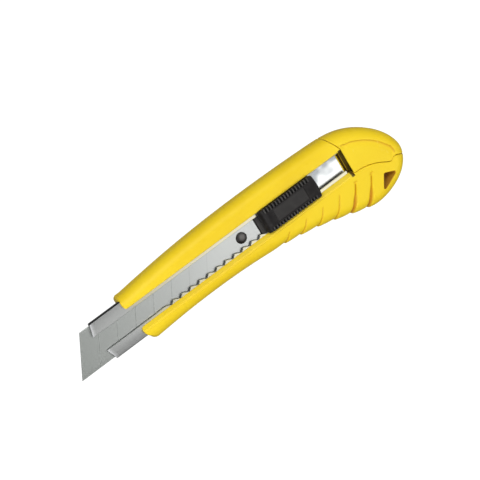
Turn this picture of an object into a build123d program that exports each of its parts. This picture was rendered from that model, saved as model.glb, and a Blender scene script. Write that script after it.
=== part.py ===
from build123d import *
import os
from math import cos, radians, sin, tan

# A snap-off utility knife: a moulded handle with a pull-off end cap, a folded steel channel, and a
# scored blade on a carrier that a locking slider moves. Millimetres. +X runs from the blade's tip
# to the tail, +Y from the cutting edge to the spine, +Z out of the slotted face. The origin lies
# on the flat back, on the blade's centre line, halfway along the handle.

# ---- Handle, overall ----
handle_length = 146.4
handle_depth = 13.0
edge_round = 5.4  # rounding between the flat faces and the rim
spine_wall = 5.65  # from the channel's side to the top of the spine
belly_wall = 2.75  # from the channel's side to the underside ahead of the grip
heel_drop = 13.4  # the tail's lobe below the rest of the underside
arm_step = 1.6  # the belly's front end stands this much behind the spine's

# ---- Blade ----
blade_width = 18.0
blade_thickness = 0.5
segment_pitch = 9.6
segment_count = 7  # snap-off segments ahead of the tail section
tail_section = 32.8
cut_angle = 60.0  # between the score lines and the cutting edge
score_width = 0.25
score_depth = 0.12
bevel_width = 1.6
edge_land = 0.08  # thickness left along the cutting edge
blade_hole = 5.3
hole_from_end = 8.5
blade_corner = 2.0

# ---- Steel channel ----
sheet = 0.65
channel_gap = 1.6  # inside, between the back and the lips
blade_side_clear = 0.2
channel_overhang = 17.4  # bare channel ahead of the handle
lip_step = 1.8  # the lower lip starts this much behind the upper one
lip_slant = 17.0  # degrees between the lips' front ends and the Y axis
channel_tail_gap = 0.4665  # from the channel's rear corner to the cap's seam
lip_opening_high = 4.1
lip_opening_low = 4.2
fold_radius = 0.6
tooth_pitch = 4.8
tooth_count = 17
tooth_height = 1.0
tooth_rise = 1.3  # run of the steep side, which faces the tip
first_tooth = 18.3  # from the handle's front to the first valley

# ---- Slot in the handle ----
slot_high = 6.8
slot_low = 5.8
cap_length = 27.4  # from the slot's end to the tail
lip_recess = 1.8  # from the handle's face down to the lips
rim_chamfer = 0.8
channel_clear = 0.15

# ---- Slider button ----
button_length = 29.8
button_height = 4.1
button_lead = 9.7  # front end ahead of the lock spring's nose
button_clear = 0.7  # to each side of the slot
button_lift = 0.3  # above the lips
button_corner = 0.8
button_arc = 1.0  # bulge of the rounded rear end
ramp_length = 3.0
ramp_drop = 2.4
panel_length = 17.0
panel_width = 6.0
panel_depth = 0.5
rib_count = 15
rib_pitch = 1.6
rib_gap = 0.8
rib_depth = 0.6
rib_length = 1.9
release_travel = 1.0

# ---- Carrier and peg ----
carrier_clear = 0.1
carrier_lead = 12.0  # from the blade's end to the lock spring's nose
carrier_setback = 0.4  # base behind the blade's end
tongue_reach = 13.5  # thin tongue behind the blade's tail
tongue_half = 6.3
neck_half = 3.3
neck_length = 24.0
base_margin = 1.0  # base behind the neck
neck_rise = 1.4  # above the lips
head_half = 4.2
head_height = 0.6
hook_clear = 0.2
peg_clear = 0.2
peg_proud = 0.5

# ---- Lock spring ----
spring_sheet = 0.4
spring_length = 12.0
spring_height = 1.3
spring_inset = 1.4  # its back from the knife's centre line
spring_bow = 0.4
nose_run = 2.2
nose_reach = 0.3  # from the nose to the bottom of its valley
nose_tooth = 13  # valley that the nose rests in
bend_radius = 0.4

# ---- End cap ----
cap_gap = 0.3
cap_hollow = 15.0
plug_length = 12.0
plug_clear = 0.2
seam_lean = 0.47  # X run of the spine seam for each millimetre of Y
seam_drop = 9.6

# ---- Hollow behind the channel ----
hollow_half = 8.0
hollow_length = 100.0
back_wall = 2.2
web = 1.2

# ---- Grip and lanyard hole ----
groove_count = 6
groove_pitch = 9.5
groove_width = 1.1
groove_depth = 0.6
groove_top = 9.8
groove_rear = 66.8  # first groove's upper end ahead of the tail
groove_angle = 47.0
groove_turn = 2.0  # each groove leans this much more than the one before
groove_length = 6.2
groove_growth = 2.2
lanyard_corners = ((14.7, 10.6), (10.3, 8.7), (18.5, 5.0))  # ahead of the tail, above the heel
lanyard_round = 0.6

# ---- Levels and places worked out from the above ----
front_x = -handle_length / 2
tail_x = handle_length / 2
slot_rear = tail_x - cap_length
lip_z = handle_depth - lip_recess
channel_height = 2 * sheet + channel_gap
channel_z = lip_z - channel_height
inner_z = channel_z + sheet
blade_z = inner_z + (channel_gap - blade_thickness) / 2
blade_half = blade_width / 2
channel_half = blade_half + blade_side_clear + sheet
spine_height = channel_half + spine_wall  # above the blade's centre line
belly_depth = channel_half + belly_wall
heel_depth = belly_depth + heel_drop
channel_front = front_x - channel_overhang
channel_rear = slot_rear - seam_lean * (channel_half - slot_high) - channel_tail_gap
hollow_top = channel_z - channel_clear - web
crest_y = -lip_opening_low + tooth_height / 2
valley_y = crest_y - tooth_height
tooth_start = front_x + first_tooth
nose_x = tooth_start + nose_tooth * tooth_pitch
blade_rear = nose_x - carrier_lead
blade_length = segment_count * segment_pitch + tail_section
blade_tip = blade_rear - blade_length
tip_lean = blade_width / tan(radians(cut_angle))
peg_x = blade_rear - hole_from_end
button_z = lip_z + button_lift
button_top = button_z + button_height
button_y = (slot_high - slot_low) / 2
button_half = (slot_high + slot_low) / 2 - button_clear
button_x = nose_x - button_lead
button_mid = button_x + button_length / 2
neck_front = button_mid - neck_length / 2
neck_top = lip_z + neck_rise
spring_z = lip_z - sheet + carrier_clear
beyond = 2 * handle_length  # longer than anything it cuts

os.makedirs("parts", exist_ok=True)


def outer_form():
    """The handle and the cap together, as one rounded block before anything is cut."""
    front = front_x - 10
    rim = [
        (front, spine_height - 5.5),
        (front_x + 28, spine_height - 1.6),
        (0, spine_height),
        (tail_x - 38, spine_height - 0.7),
        (tail_x - 23, spine_height - 2.5),
        (tail_x - 10, spine_height - 9.3),
        (tail_x - 1.9, spine_height - 18.9),
        (tail_x, 15.5 - heel_depth),
        (tail_x - 3.8, 7.3 - heel_depth),
        (tail_x - 13, 1.7 - heel_depth),
        (tail_x - 23.5, -heel_depth),
        (tail_x - 35, 2.7 - heel_depth),
        (tail_x - 53, -belly_depth - 5.5),
        (tail_x - 78, -belly_depth - 1.5),
        (front_x + 38, -belly_depth),
        (front, -belly_depth - 1.9),
    ]
    with BuildPart() as block:
        with BuildSketch(Plane.XY):
            with BuildLine():
                edge = Spline(*rim)
                Line(edge @ 1, edge @ 0)
            make_face()
        extrude(amount=handle_depth)
        rims = block.faces().filter_by(Axis.Z).edges().filter_by(GeomType.BSPLINE)
        fillet(rims, edge_round)
    return block.part


def cap_region(grow):
    """Plan of the end cap, grown by the gap to the handle."""
    top = 2 * spine_height
    with BuildSketch(Plane.XY) as region:
        with BuildLine():
            seam = Spline(
                (slot_rear - grow, -slot_low - 0.3 - grow),
                (slot_rear + 11, -slot_low - 2.4 - grow),
                (slot_rear + 20, -slot_low - 6.2 - grow),
                (tail_x + 5, -slot_low - seam_drop - grow),
            )
            Polyline(
                seam @ 1,
                (tail_x + 5, top),
                (slot_rear - grow - (top - slot_high) * seam_lean, top),
                (slot_rear - grow, slot_high),
                seam @ 0,
            )
        make_face()
    return region.sketch


form = outer_form()

# ---- Handle body ----
with BuildPart() as handle_body:
    add(form)
    with BuildSketch(Plane.XY):
        add(cap_region(cap_gap))
    extrude(amount=handle_depth, mode=Mode.SUBTRACT)
    # The front end, stepped back from the spine's side to the belly's.
    with BuildSketch(Plane.XY):
        with BuildLine():
            Polyline(
                (front_x - beyond, beyond),
                (front_x, beyond),
                (front_x, slot_high),
                (front_x + arm_step, -slot_low),
                (front_x + arm_step, -beyond),
                (front_x - beyond, -beyond),
                close=True,
            )
        make_face()
    extrude(amount=handle_depth, mode=Mode.SUBTRACT)
    # The slot in the face, and the pocket that the channel slides into.
    with BuildSketch(Plane.XY.offset(lip_z)):
        with Locations((slot_rear, -slot_low)):
            Rectangle(beyond, slot_low + slot_high, align=(Align.MAX, Align.MIN))
    extrude(amount=lip_recess, mode=Mode.SUBTRACT)
    with BuildSketch(Plane.YZ.offset(channel_rear + channel_clear)):
        with Locations((0, channel_z + channel_height / 2)):
            Rectangle(2 * (channel_half + channel_clear), channel_height + 2 * channel_clear)
    extrude(amount=-beyond, mode=Mode.SUBTRACT)
    face_edges = handle_body.faces().filter_by(Axis.Z).group_by(Axis.Z)[-1].edges()
    rim_edges = face_edges.filter_by(Axis.X).filter_by(lambda edge: abs(edge.center().Y + slot_low) < 0.01)
    chamfer(rim_edges, rim_chamfer)
    # The hollow behind the channel, open at the rear under the cap.
    with BuildSketch(Plane.YZ.offset(slot_rear)):
        with Locations((0, back_wall)):
            Rectangle(2 * hollow_half, hollow_top - back_wall, align=(Align.CENTER, Align.MIN))
    extrude(amount=-hollow_length, mode=Mode.SUBTRACT)
    # Slanted grip grooves on both faces.
    for index in range(groove_count):
        tilt = groove_angle + groove_turn * index
        length = groove_length + groove_growth * index
        middle_x = tail_x - groove_rear + index * groove_pitch - cos(radians(tilt)) * length / 2
        middle_y = -groove_top - sin(radians(tilt)) * length / 2
        for level in (0, handle_depth):
            with BuildSketch(Plane.XY.offset(level)):
                with Locations(Location((middle_x, middle_y), tilt)):
                    SlotOverall(length, groove_width)
            extrude(amount=groove_depth, both=True, mode=Mode.SUBTRACT)
    # The three-cornered lanyard hole.
    with BuildSketch(Plane.XY):
        with BuildLine():
            Polyline(*[(tail_x - ahead, rise - heel_depth) for ahead, rise in lanyard_corners], close=True)
        hole = make_face()
        fillet(hole.vertices(), lanyard_round)
    extrude(amount=handle_depth, mode=Mode.SUBTRACT)
handle_body.part.label = "handle_body"
export_step(handle_body.part, "parts/handle_body.step")

# ---- End cap ----
with BuildPart() as end_cap:
    add(form)
    with BuildSketch(Plane.XY):
        add(cap_region(0))
    extrude(amount=handle_depth, mode=Mode.INTERSECT)
    # The hollow under its face, which shows through the end of the slot.
    with BuildSketch(Plane.YZ.offset(slot_rear)):
        with Locations((0, channel_z)):
            Rectangle(2 * slot_low, channel_height, align=(Align.CENTER, Align.MIN))
    extrude(amount=cap_hollow, mode=Mode.SUBTRACT)
    # The plug that fits the handle's hollow.
    with BuildSketch(Plane.YZ.offset(slot_rear)):
        with Locations((0, (back_wall + hollow_top) / 2)):
            Rectangle(2 * (slot_low - plug_clear), hollow_top - back_wall - 2 * plug_clear)
    extrude(amount=-plug_length)
end_cap.part.label = "end_cap"
export_step(end_cap.part, "parts/end_cap.step")

# ---- Blade channel ----
with BuildPart() as blade_channel:
    with BuildSketch(Plane.YZ.offset(channel_front)):
        with Locations((0, channel_z + channel_height / 2)):
            RectangleRounded(2 * channel_half, channel_height, fold_radius)
            Rectangle(2 * (channel_half - sheet), channel_gap, mode=Mode.SUBTRACT)
        with Locations((crest_y, inner_z)):
            opening = lip_opening_high - crest_y
            Rectangle(opening, channel_height, align=(Align.MIN, Align.MIN), mode=Mode.SUBTRACT)
    extrude(amount=channel_rear - channel_front)
    # The slanted front ends of both lips: each slopes back towards its fold.
    fold_run = (channel_half - lip_opening_high) * tan(radians(lip_slant))
    with BuildSketch(Plane.XY.offset(channel_z)):
        with BuildLine():
            Polyline(
                (channel_front - 1, channel_half),
                (channel_front + fold_run, channel_half),
                (channel_front, lip_opening_high),
                (channel_front + lip_step, -lip_opening_low),
                (channel_front + lip_step + fold_run, -channel_half),
                (channel_front - 1, -channel_half),
                close=True,
            )
        make_face()
    extrude(amount=channel_height, mode=Mode.SUBTRACT)
    # The lower lip's edge: straight at the front, then saw teeth, then straight along the crests.
    edge_path = [(channel_front, -lip_opening_low), (tooth_start - tooth_pitch, -lip_opening_low)]
    for index in range(tooth_count):
        valley_x = tooth_start + index * tooth_pitch
        edge_path += [(valley_x, valley_y), (valley_x + tooth_rise, crest_y)]
    with BuildSketch(Plane.XY.offset(inner_z + channel_gap / 2)):
        with BuildLine():
            Polyline(*edge_path, (channel_rear, crest_y), (channel_rear, 0), (channel_front, 0), close=True)
        make_face()
    extrude(amount=channel_height, mode=Mode.SUBTRACT)
blade_channel.part.label = "blade_channel"
export_step(blade_channel.part, "parts/blade_channel.step")

# ---- Blade ----
with BuildPart() as blade:
    with BuildSketch(Plane.XY.offset(blade_z)):
        with BuildLine():
            Polyline(
                (blade_tip, -blade_half),
                (blade_rear - blade_corner, -blade_half),
                (blade_rear, -blade_half + blade_corner),
                (blade_rear, blade_half - blade_corner),
                (blade_rear - blade_corner, blade_half),
                (blade_tip + tip_lean, blade_half),
                close=True,
            )
        make_face()
        with Locations((peg_x, 0)):
            Circle(blade_hole / 2, mode=Mode.SUBTRACT)
    extrude(amount=blade_thickness)
    # The ground edge: both faces slope down to a thin land.
    ground = (blade_thickness - edge_land) / 2
    for level, fall in ((blade_z, ground), (blade_z + blade_thickness, -ground)):
        with BuildSketch(Plane.YZ.offset(blade_tip)):
            with BuildLine():
                Polyline(
                    (-blade_half, level),
                    (-blade_half + bevel_width, level),
                    (-blade_half, level + fall),
                    close=True,
                )
            make_face()
        extrude(amount=blade_length, mode=Mode.SUBTRACT)
    # Score lines across the front face, parallel to the slanted tip.
    for index in range(1, segment_count + 1):
        with BuildSketch(Plane.XY.offset(blade_z + blade_thickness - score_depth)):
            with Locations(Location((blade_tip + index * segment_pitch + tip_lean / 2, 0), cut_angle)):
                Rectangle(2 * blade_width, score_width)
        extrude(amount=score_depth, mode=Mode.SUBTRACT)
blade.part.label = "blade"
export_step(blade.part, "parts/blade.step")

# ---- Blade carrier ----
with BuildPart() as blade_carrier:
    # The base that runs inside the channel, behind the blade, with a thin tongue under the blade.
    base_front = blade_rear + carrier_setback
    base_rear = button_mid + neck_length / 2 + base_margin
    base_z = inner_z + carrier_clear
    with BuildSketch(Plane.XY.offset(base_z)):
        with Locations((base_front, 0)):
            base_half = channel_half - sheet - carrier_clear
            Rectangle(base_rear - base_front, 2 * base_half, align=(Align.MIN, Align.CENTER))
    extrude(amount=channel_gap - 2 * carrier_clear)
    with BuildSketch(Plane.XY.offset(base_z)):
        with Locations((base_front, 0)):
            Rectangle(tongue_reach, 2 * tongue_half, align=(Align.MAX, Align.CENTER))
    extrude(amount=blade_z - inner_z - 2 * carrier_clear)
    # The domed peg through the blade's hole.
    with BuildSketch(Plane.XY.offset(base_z)):
        with Locations((peg_x, 0)):
            Circle(blade_hole / 2 - peg_clear)
    extrude(amount=blade_z + blade_thickness + peg_proud - base_z)
    fillet(blade_carrier.edges().filter_by(GeomType.CIRCLE).sort_by(Axis.Z)[-1], 0.9 * peg_proud)
    # The neck between the lips, and the head that the button hooks over.
    for half_width, foot in ((neck_half, blade_z), (head_half, neck_top - head_height)):
        with BuildSketch(Plane.XY.offset(foot)):
            with Locations((button_mid, 0)):
                Rectangle(neck_length, 2 * half_width)
        extrude(amount=neck_top - foot)
    # The open pocket beside the neck that holds the lock spring.
    pocket_z = spring_z - carrier_clear
    with BuildSketch(Plane.XY.offset(pocket_z)):
        with Locations((nose_x - nose_run, -spring_inset + carrier_clear)):
            Rectangle(spring_length + nose_run, beyond, align=(Align.MIN, Align.MAX))
    extrude(amount=spring_height + 2 * carrier_clear, mode=Mode.SUBTRACT)
blade_carrier.part.label = "blade_carrier"
export_step(blade_carrier.part, "parts/blade_carrier.step")

# ---- Lock spring ----
with BuildPart() as lock_spring:
    back_y = -spring_inset - spring_sheet / 2
    with BuildSketch(Plane.XY.offset(spring_z)):
        with BuildLine():
            FilletPolyline(
                (nose_x + spring_length - nose_run, back_y),
                (nose_x + nose_run, back_y - spring_bow),
                (nose_x, valley_y + nose_reach + spring_sheet / 2),
                (nose_x - 0.7 * nose_run, back_y - spring_bow),
                radius=bend_radius,
            )
            offset(amount=spring_sheet / 2)
        make_face()
    extrude(amount=spring_height)
    # The nose is cut low, to pass under the button.
    with BuildSketch(Plane.XY.offset(lip_z)):
        with Locations((nose_x, -neck_half)):
            Rectangle(4 * nose_run, neck_half, align=(Align.CENTER, Align.MAX))
    extrude(amount=spring_height, mode=Mode.SUBTRACT)
lock_spring.part.label = "lock_spring"
export_step(lock_spring.part, "parts/lock_spring.step")

# ---- Slider button ----
with BuildPart() as slider_button:
    button_rear = button_x + button_length
    arc_start = button_rear - button_arc
    low_y = button_y - button_half
    high_y = button_y + button_half
    with BuildSketch(Plane.XY.offset(button_z)):
        with BuildLine():
            Polyline((arc_start, high_y), (button_x, high_y), (button_x, low_y), (arc_start, low_y))
            ThreePointArc((arc_start, low_y), (button_rear, button_y), (arc_start, high_y))
        plan = make_face()
        fillet(plan.vertices(), button_corner)
    extrude(amount=button_height)
    # The front ramp.
    with BuildSketch(Plane.XZ):
        with BuildLine():
            Polyline(
                (button_x, button_top - ramp_drop),
                (button_x + ramp_length, button_top),
                (button_x, button_top),
                close=True,
            )
        make_face()
    extrude(amount=2 * button_half, both=True, mode=Mode.SUBTRACT)
    # The sunk panel between two rows of ribs along the edges.
    with BuildSketch(Plane.XY.offset(button_top - panel_depth)):
        with Locations((button_mid, button_y)):
            Rectangle(panel_length, panel_width)
    extrude(amount=panel_depth, mode=Mode.SUBTRACT)
    with BuildSketch(Plane.XY.offset(button_top - rib_depth)):
        with Locations((button_mid, button_y)):
            row_spacing = 2 * button_half - rib_length
            with GridLocations(rib_pitch, row_spacing, rib_count, 2):
                Rectangle(rib_gap, rib_length)
    extrude(amount=rib_depth, mode=Mode.SUBTRACT)
    # The pocket over the carrier's head, with the ledges that hook under the head.
    hook_z = neck_top - head_height - hook_clear
    pocket_length = neck_length + 2 * (release_travel + hook_clear)
    for half_width, foot in ((neck_half, button_z), (head_half, hook_z)):
        with BuildSketch(Plane.XY.offset(foot)):
            with Locations((button_mid, 0)):
                Rectangle(pocket_length, 2 * (half_width + hook_clear))
        extrude(amount=neck_top + hook_clear - foot, mode=Mode.SUBTRACT)
slider_button.part.label = "slider_button"
export_step(slider_button.part, "parts/slider_button.step")
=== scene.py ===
from math import cos, pi, radians, sin

import bmesh
import bpy
import numpy as np
from mathutils import Matrix, Vector


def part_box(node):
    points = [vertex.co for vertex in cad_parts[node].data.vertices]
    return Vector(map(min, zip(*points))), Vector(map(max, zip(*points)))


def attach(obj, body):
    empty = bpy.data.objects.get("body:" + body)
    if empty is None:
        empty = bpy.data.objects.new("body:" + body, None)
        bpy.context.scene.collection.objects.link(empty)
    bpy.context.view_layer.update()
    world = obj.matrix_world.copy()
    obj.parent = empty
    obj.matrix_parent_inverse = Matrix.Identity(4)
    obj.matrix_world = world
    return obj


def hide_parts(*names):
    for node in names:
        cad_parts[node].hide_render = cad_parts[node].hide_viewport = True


# Snap-off utility knife. Shapes are worked out in millimetres and put into the meshes in metres.
# +X runs from the blade's tip to the tail, +Y from the cutting edge to the spine, +Z out of the face.

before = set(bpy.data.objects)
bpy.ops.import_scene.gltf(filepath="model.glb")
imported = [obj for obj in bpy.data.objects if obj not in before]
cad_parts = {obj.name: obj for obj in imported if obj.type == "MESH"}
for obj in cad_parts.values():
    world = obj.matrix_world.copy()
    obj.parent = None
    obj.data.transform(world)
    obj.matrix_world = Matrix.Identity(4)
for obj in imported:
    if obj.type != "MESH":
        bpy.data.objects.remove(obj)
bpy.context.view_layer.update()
MM = 0.001


def node_box(name):
    """Lowest and highest corner of a CAD node in millimetres."""
    low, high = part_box(name)
    return np.array(low) / MM, np.array(high) / MM


handle_low, handle_high = node_box("handle_body")
channel_low, channel_high = node_box("blade_channel")
blade_low, blade_high = node_box("blade")
button_low, button_high = node_box("slider_button")

FRONT = handle_low[0]
DEPTH = handle_high[2]  # height of the face
LIP = channel_high[2]  # height of the channel's lips
SLOT_END = 45.8  # where the slot meets the cap
SLOT_HIGH, SLOT_LOW = 6.8, -5.8  # top of the slot's rolled edges
WALL_HIGH, WALL_LOW = 5.8, -5.1  # the slot's walls
ROUND = 5.4  # radius of the rounded rim
SEAM_GAP = 0.28  # between the handle and the cap
PEG_X = blade_high[0] - 8.5  # axis of the blade's hole and of the peg through it


# ---- mesh helpers

def unit(vectors):
    """Rows scaled to length one."""
    return vectors / np.maximum(np.linalg.norm(vectors, axis=-1, keepdims=True), 1e-9)


def run_length(path):
    """Distance along a sampled path at each of its points."""
    return np.concatenate([[0], np.cumsum(np.linalg.norm(np.diff(path, axis=0), axis=1))])


def spline(points, samples):
    """A natural cubic through the points, parameterised by chord length, at evenly spaced samples."""
    points = np.array(points, float)
    knots = run_length(points)
    steps = np.diff(knots)
    n = len(points)
    system = np.eye(n)
    right = np.zeros((n, points.shape[1]))
    inner = np.arange(1, n - 1)
    before, after = steps[:-1][:, None], steps[1:][:, None]
    system[inner, inner - 1] = steps[:-1]
    system[inner, inner] = 2 * (steps[:-1] + steps[1:])
    system[inner, inner + 1] = steps[1:]
    right[1:-1] = 6 * ((points[2:] - points[1:-1]) / after - (points[1:-1] - points[:-2]) / before)
    bend = np.linalg.solve(system, right)
    at = np.linspace(0, knots[-1], samples)
    cell = np.clip(np.searchsorted(knots, at, side="right") - 1, 0, n - 2)
    h = steps[cell][:, None]
    a = ((knots[cell + 1] - at)[:, None]) / h
    b = 1 - a
    return (
        a * points[cell]
        + b * points[cell + 1]
        + ((a**3 - a) * bend[cell] + (b**3 - b) * bend[cell + 1]) * h**2 / 6
    )


def along(path, where):
    """Points of a sampled path at the given fractions of its length."""
    run = run_length(path)
    return np.stack([np.interp(where * run[-1], run, path[:, k]) for k in range(path.shape[1])], 1)


def ease(value, low, high):
    """0 below low, 1 above high, and 3t^2 - 2t^3 between them."""
    t = np.clip((value - low) / (high - low), 0, 1)
    return t * t * (3 - 2 * t)


def outward(loop):
    """Outward unit normals of a closed counter-clockwise loop in a plane, from central differences."""
    run = np.roll(loop, -1, 0) - np.roll(loop, 1, 0)
    return unit(np.stack([run[:, 1], -run[:, 0]], 1))


def ring_faces(rings, count, start=0, wrap=True):
    """Quads that join each ring of a grid to the next, as index rows."""
    i = np.arange(rings - 1)[:, None]
    j = np.arange(count if wrap else count - 1)[None, :]
    k = (j + 1) % count
    quads = np.stack([i * count + j, i * count + k, (i + 1) * count + k, (i + 1) * count + j], -1)
    return (quads.reshape(-1, 4) + start).tolist()


def right_of(path):
    """Unit directions to the right of a path, at each of its points."""
    run = unit(np.gradient(path, axis=0))
    return np.stack([run[:, 1], -run[:, 0]], 1)


def tube_faces(rings, count):
    """Faces of a closed tube: the quads between its rings and a face over either end."""
    last = (rings - 1) * count
    return ring_faces(rings, count) + [list(range(count)), list(range(last, last + count))]


def show(name, data):
    """A new object in the scene that carries the data."""
    made = bpy.data.objects.new(name, data)
    bpy.context.scene.collection.objects.link(made)
    return made


def build(name, verts, faces, material, sharp=32.0, layers=None):
    """Puts points in millimetres and faces into a mesh in metres, turned outwards, smooth up to an angle."""
    mesh = bpy.data.meshes.new(name)
    mesh.from_pydata((np.asarray(verts, float) * MM).tolist(), [], faces)
    for layer, values in (layers or {}).items():
        mesh.attributes.new(layer, "FLOAT", "POINT").data.foreach_set("value", np.asarray(values, np.float32))
    mesh.update()
    piece = show(name, mesh)
    if material is not None:
        mesh.materials.append(material)
    turn_out(mesh)
    mesh.shade_smooth()
    mesh.set_sharp_from_angle(angle=radians(sharp))
    return piece


def turn_out(mesh):
    """Makes every closed shell's faces point outwards."""
    work = bmesh.new()
    work.from_mesh(mesh)
    bmesh.ops.recalc_face_normals(work, faces=work.faces)
    work.to_mesh(mesh)
    work.free()


def cut(piece, cutters, sharp=32.0):
    """Cuts the closed cutter meshes out of the piece and throws the cutters away."""
    for cutter in cutters:
        change = piece.modifiers.new("cut", "BOOLEAN")
        change.operation = "DIFFERENCE"
        change.solver = "EXACT"
        change.object = cutter
        change.material_mode = "TRANSFER"
        graph = bpy.context.evaluated_depsgraph_get()
        graph.update()
        made = bpy.data.meshes.new_from_object(piece.evaluated_get(graph))
        piece.modifiers.remove(change)
        old = piece.data
        piece.data = made
        made.name = piece.name
        bpy.data.meshes.remove(old)
        spent = cutter.data
        bpy.data.objects.remove(cutter)
        bpy.data.meshes.remove(spent)
    piece.data.shade_smooth()
    piece.data.set_sharp_from_angle(angle=radians(sharp))
    return piece


def join_shells(shells):
    """Several (points, faces) shells as one pair of lists."""
    verts, faces, start = [], [], 0
    for points, polys in shells:
        verts.append(points)
        faces += [[v + start for v in poly] for poly in polys]
        start += len(points)
    return np.concatenate(verts), faces


def round_loop(corners, radius):
    """A closed loop through convex corners, each rounded by an arc of the given radius."""
    corners = np.array(corners, float)
    back = unit(np.roll(corners, 1, 0) - corners)
    ahead = unit(np.roll(corners, -1, 0) - corners)
    half = np.arccos(np.clip((back * ahead).sum(1), -1, 1)) / 2
    radius = np.broadcast_to(radius, half.shape)
    centre = corners + unit(back + ahead) * (radius / np.sin(half))[:, None]
    first = corners + back * (radius / np.tan(half))[:, None] - centre
    last = corners + ahead * (radius / np.tan(half))[:, None] - centre
    t = np.linspace(0, 1, 6)[None, :, None]
    arc = unit(first[:, None] * (1 - t) + last[:, None] * t) * radius[:, None, None]
    return (centre[:, None] + arc).reshape(-1, 2)


def plate(loop, low, high, edge, plane="XY", flare=0.0):
    """A slab over a closed loop: the edge profile is a quarter circle of radius edge at both faces,
    carried round the loop. flare opens both ends outwards instead, for a cutter that leaves soft rims."""
    normal = outward(loop)
    turn = np.linspace(0, pi / 2, 4)
    if flare:
        shift = np.array([flare, flare, 0, 0, flare, flare])
        level = np.array([low - 1, low, low + flare, high - flare, high, high + 1])
    elif not edge:
        shift, level = np.zeros(2), np.array([low, high])
    else:
        shift = np.concatenate([-edge * (1 - np.sin(turn)), -edge * (1 - np.cos(turn))])
        level = np.concatenate([low + edge * (1 - np.cos(turn)), high - edge * (1 - np.sin(turn))])
    rings = loop[None] + normal[None] * shift[:, None, None]
    depth = np.broadcast_to(level[:, None, None], rings.shape[:2] + (1,))
    points = np.concatenate([rings, depth], 2).reshape(-1, 3)
    if plane == "YZ":
        points = points[:, [2, 0, 1]]
    count = len(loop)
    faces = ring_faces(len(level), count)
    faces.append(list(range(count))[::-1])
    faces.append(list(range(len(points) - count, len(points))))
    return points, faces


def circle(radius, x):
    """48 points round a circle whose centre lies at x on the X axis."""
    turn = np.linspace(0, 2 * pi, 48, endpoint=False)
    return np.stack([x + radius * np.cos(turn), radius * np.sin(turn)], 1)


def block(x0, x1, y0, y1):
    """The four corners of a rectangle, counter-clockwise."""
    return [(x0, y0), (x1, y0), (x1, y1), (x0, y1)]


# ---- shader groups

def group(name, inputs, outputs):
    """An empty node group with named inputs (name, type, default) and outputs (name, type)."""
    tree = bpy.data.node_groups.new(name, "ShaderNodeTree")
    for label, kind, value in inputs:
        socket = tree.interface.new_socket(name=label, in_out="INPUT", socket_type=kind)
        socket.default_value = value
    for label, kind in outputs:
        tree.interface.new_socket(name=label, in_out="OUTPUT", socket_type=kind)
    return tree, tree.nodes.new("NodeGroupInput"), tree.nodes.new("NodeGroupOutput")


def node(tree, kind, inputs=None, **settings):
    """Adds a node and sets its properties. inputs gives an input a value, or a socket to be linked from."""
    made = tree.nodes.new(kind)
    for key, value in settings.items():
        setattr(made, key, value)
    for key, value in (inputs or {}).items():
        if isinstance(value, bpy.types.NodeSocket):
            tree.links.new(value, made.inputs[key])
        else:
            made.inputs[key].default_value = value
    return made


def ramp(tree, source, stops):
    """A colour ramp from (position, colour) stops."""
    made = node(tree, "ShaderNodeValToRGB", {0: source})
    bar = made.color_ramp
    bar.elements[0].position, bar.elements[0].color = stops[0]
    bar.elements[1].position, bar.elements[1].color = stops[-1]
    for place, colour in stops[1:-1]:
        bar.elements.new(place).color = colour
    return made


def math(tree, a, b, operation="MULTIPLY"):
    """Multiplies two sockets or numbers, or does another operation on them."""
    return node(tree, "ShaderNodeMath", {0: a, 1: b}, operation=operation).outputs[0]


def map_range(tree, source, low, high, to_low=0.0, to_high=1.0, kind="LINEAR"):
    """Stretches a source so that low and high become to_low and to_high."""
    limits = {0: source, 1: low, 2: high, 3: to_low, 4: to_high}
    return node(tree, "ShaderNodeMapRange", limits, interpolation_type=kind).outputs[0]


def coords(tree):
    """The piece's own coordinates."""
    return node(tree, "ShaderNodeTexCoord").outputs["Object"]


def noise(tree, place, scale, detail):
    """Noise at a place; scale is a number or a socket."""
    return node(tree, "ShaderNodeTexNoise", {0: place, "Scale": scale, "Detail": detail}).outputs[0]


def make_grain_group():
    """Fine moulded grain: two sizes of noise give a height and a soft tone."""
    tree, into, out = group(
        "moulded_grain",
        [("Fine Scale", "NodeSocketFloat", 2600.0), ("Broad Scale", "NodeSocketFloat", 60.0)],
        [("Height", "NodeSocketFloat"), ("Tone", "NodeSocketFloat")],
    )
    place = coords(tree)
    tree.links.new(noise(tree, place, into.outputs[0], 3.0), out.inputs[0])
    tree.links.new(noise(tree, place, into.outputs[1], 4.0), out.inputs[1])
    return tree


def make_streak_group():
    """Rolled or ground streaks, which are noise squeezed by Stretch, and a cloudy tone."""
    tree, into, out = group(
        "ground_streaks",
        [("Stretch", "NodeSocketVector", (20.0, 1400.0, 1400.0))],
        [("Height", "NodeSocketFloat"), ("Tone", "NodeSocketFloat")],
    )
    place = coords(tree)
    drawn = node(tree, "ShaderNodeVectorMath", {0: place, 1: into.outputs[0]}, operation="MULTIPLY")
    tree.links.new(noise(tree, drawn.outputs[0], 1.0, 4.0), out.inputs[0])
    tree.links.new(noise(tree, place, 55.0, 5.0), out.inputs[1])
    return tree


def make_wear_group():
    """Edge wear: a mask that is high on convex edges and broken up by noise."""
    tree, into, out = group(
        "edge_wear",
        [("Low", "NodeSocketFloat", 0.53), ("High", "NodeSocketFloat", 0.62)],
        [("Mask", "NodeSocketFloat")],
    )
    shape = node(tree, "ShaderNodeNewGeometry")
    spread = math(tree, noise(tree, coords(tree), 420.0, 4.0), 0.12)
    edge = math(tree, shape.outputs["Pointiness"], spread, "ADD")
    tree.links.new(map_range(tree, edge, into.outputs[0], into.outputs[1]), out.inputs[0])
    return tree


GRAIN = make_grain_group()
STREAKS = make_streak_group()
WEAR = make_wear_group()


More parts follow.
